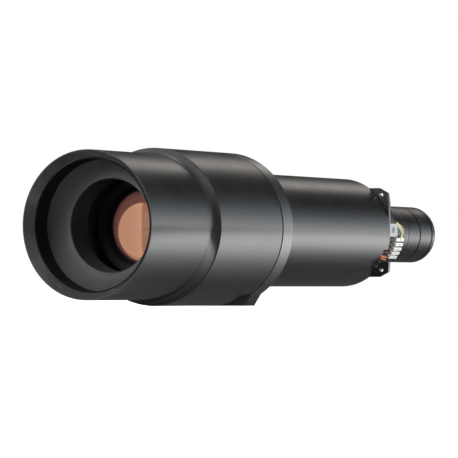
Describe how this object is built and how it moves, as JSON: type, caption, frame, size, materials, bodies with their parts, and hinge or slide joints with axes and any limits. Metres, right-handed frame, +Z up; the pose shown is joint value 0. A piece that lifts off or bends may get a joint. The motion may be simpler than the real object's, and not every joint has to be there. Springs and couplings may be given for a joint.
{
  "type": "projection lens",
  "caption": "Long throw projection lens with a deep front hood, motor zoom and focus drives, a bolted rear flange, a support foot and a slim rear barrel.",
  "frame": {"origin": "optical axis at the rear face of the mounting flange, centre of its four bolt holes", "axes": "+Z up, the lens looks along -Y and its rear barrel points along +Y, +X is the side with the wiring window"},
  "size_m": [0.146, 0.6605, 0.1463],
  "materials": {
    "satin_black": "satin black anodised, finely turned",
    "matt_black": "matt black",
    "turned_black": "satin black with lathe lines",
    "bare_alloy": "machined",
    "black_steel": "blackened",
    "motor_steel": "plated",
    "gear_brass": "machined",
    "coated_glass": "amber coated",
    "clear_glass": "polished",
    "white_plastic": "moulded",
    "black_plastic": "moulded",
    "grey_plastic": "moulded",
    "boot_plastic": "moulded",
    "yellow_insulation": "extruded",
    "white_insulation": "extruded",
    "green_insulation": "extruded",
    "orange_insulation": "extruded",
    "brown_insulation": "extruded"
  },
  "bodies": {
    "housing": {"front_hood": "satin_black", "front_baffle": "matt_black", "baffle_ring": "matt_black", "body_shell": "satin_black", "mount_ring": "satin_black", "ring_screws": "black_steel", "main_tube": "satin_black", "tube_screws": "black_steel", "mount_flange": "matt_black", "flange_screws": "black_steel", "rear_bulkhead": "bare_alloy", "rear_barrel": "turned_black", "barrel_screws": "black_steel", "end_ring": "turned_black", "rear_lens": "clear_glass", "relay_spacer": "matt_black", "relay_lens_back": "clear_glass", "relay_lens_front": "clear_glass", "connector_holder": "black_plastic", "header_row": "white_plastic", "plug_row": "white_plastic", "plug_boots": "boot_plastic", "cable_clamp": "grey_plastic", "clamp_screw": "black_steel", "yellow_lead": "yellow_insulation", "white_lead": "white_insulation", "green_lead": "green_insulation", "orange_leads": "orange_insulation", "sensor_leads": "brown_insulation", "harness_sleeve": "black_plastic", "focus_leads": "black_plastic", "zoom_leads": "black_plastic", "focus_guide": "matt_black", "guide_posts": "bare_alloy", "bulkhead": "bare_alloy", "bulkhead_ring": "matt_black", "motor_pillars": "bare_alloy", "gear_plate": "bare_alloy", "focus_motor": "motor_steel", "zoom_motor": "motor_steel", "guide_barrel": "bare_alloy", "guide_screws": "black_steel", "cam_retainer": "matt_black"},
    "cam_barrel": {"cam_barrel": "bare_alloy", "zoom_ring": "bare_alloy"},
    "zoom_pinion": {"zoom_pinion": "gear_brass"},
    "variator": {"variator_carriage": "matt_black", "variator_rollers": "gear_brass", "variator_lens": "clear_glass"},
    "compensator": {"compensator_carriage": "matt_black", "compensator_rollers": "gear_brass", "compensator_lens": "clear_glass"},
    "focus_ring": {"focus_ring": "bare_alloy"},
    "focus_pinion": {"focus_pinion": "gear_brass"},
    "focus_barrel": {"focus_barrel": "matt_black", "focus_keys": "gear_brass", "front_lens_ring": "matt_black", "front_lens": "coated_glass", "front_spacer": "matt_black", "second_lens": "clear_glass"}
  },
  "joints": [
    {"name": "zoom_turn", "type": "hinge", "parent": "housing", "child": "cam_barrel", "pos_m": [0, -0.2, 0], "axis": [0, 1, 0], "range_deg": [0, 90]},
    {"name": "zoom_pinion_spin", "type": "hinge", "parent": "housing", "child": "zoom_pinion", "pos_m": [-0.0498, -0.29, -0.02875], "axis": [0, 1, 0], "range_deg": [-600.1, 0.1]},
    {"name": "variator_slide", "type": "slide", "parent": "housing", "child": "variator", "axis": [0, 1, 0], "range_m": [0, 0.06]},
    {"name": "compensator_slide", "type": "slide", "parent": "housing", "child": "compensator", "axis": [0, 1, 0], "range_m": [-0.024, 0]},
    {"name": "focus_turn", "type": "hinge", "parent": "housing", "child": "focus_ring", "pos_m": [0, -0.348, 0], "axis": [0, 1, 0], "range_deg": [-60, 30]},
    {"name": "focus_pinion_spin", "type": "hinge", "parent": "housing", "child": "focus_pinion", "pos_m": [0, -0.348, 0.0575], "axis": [0, 1, 0], "range_deg": [-200.1, 400.1]},
    {"name": "focus_slide", "type": "slide", "parent": "housing", "child": "focus_barrel", "axis": [0, 1, 0], "range_m": [-0.008, 0.004]}
  ],
  "couplings": [
    {"joint": "zoom_pinion_spin", "follows": "zoom_turn", "ratio": -6.6667},
    {"joint": "variator_slide", "follows": "zoom_turn", "m_per_rad": 0.038197},
    {"joint": "compensator_slide", "follows": "zoom_turn", "m_per_rad": -0.015278},
    {"joint": "focus_pinion_spin", "follows": "focus_turn", "ratio": -6.6667},
    {"joint": "focus_slide", "follows": "focus_turn", "m_per_rad": 0.007639}
  ]
}
